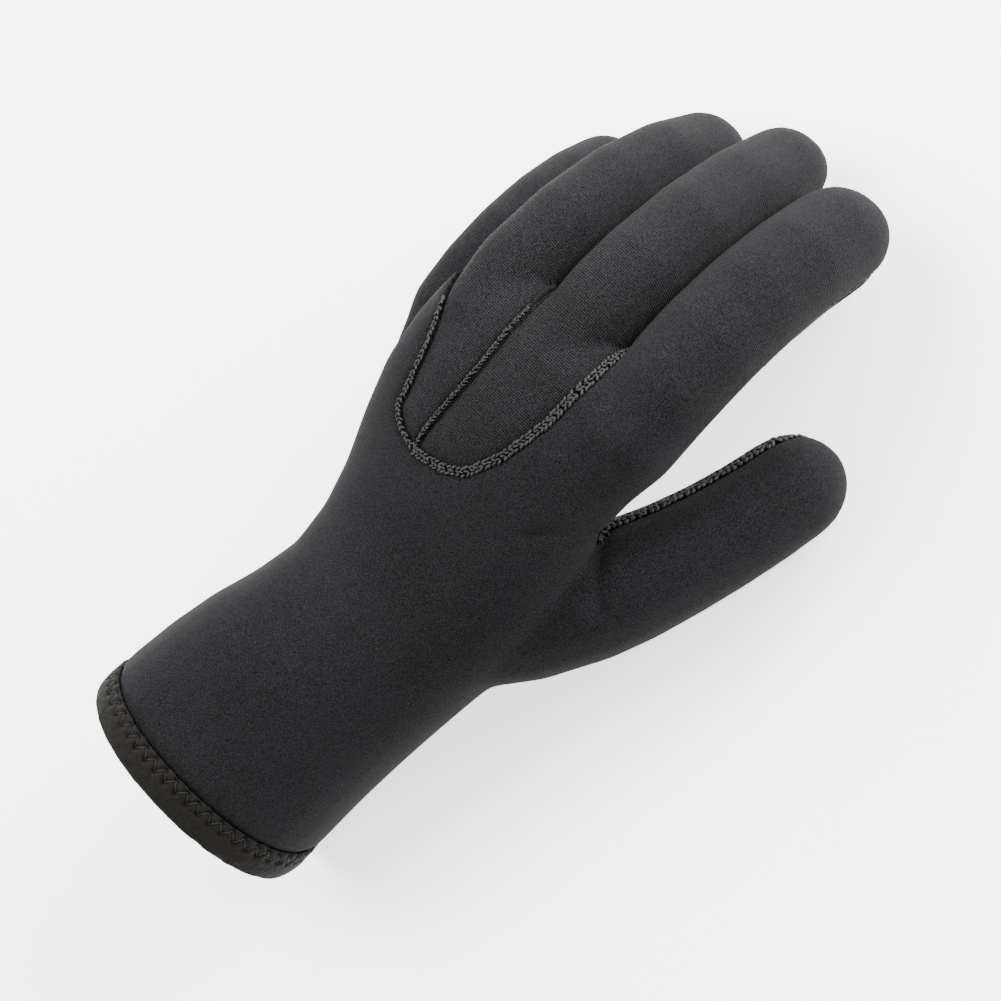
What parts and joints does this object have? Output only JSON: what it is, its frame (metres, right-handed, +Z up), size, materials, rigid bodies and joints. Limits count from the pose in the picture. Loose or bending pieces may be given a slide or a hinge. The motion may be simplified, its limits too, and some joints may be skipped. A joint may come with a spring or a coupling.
{
  "type": "diving glove",
  "caption": "Left-hand black neoprene diving glove with curved fingers, set-in finger panels on the back and a bound cuff.",
  "frame": {"origin": "centre of the bounding box in plan, on the floor the glove stands on", "axes": "+Y from the cuff to the fingertips, +Z up out of the back of the hand, +X towards the thumb"},
  "size_m": [0.1404, 0.2705, 0.0813],
  "materials": {
    "neoprene_jersey": "matt knitted nylon jersey over neoprene",
    "ribbed_jersey": "matt ribbed nylon jersey over neoprene",
    "binding_tape": "matt knitted tape, zigzag stitched"
  },
  "bodies": {
    "root": {"back_panel": "neoprene_jersey", "palm_panel": "neoprene_jersey", "middle_finger_panel": "ribbed_jersey", "ring_finger_panel": "ribbed_jersey", "cuff_binding": "binding_tape"}
  },
  "joints": []
}
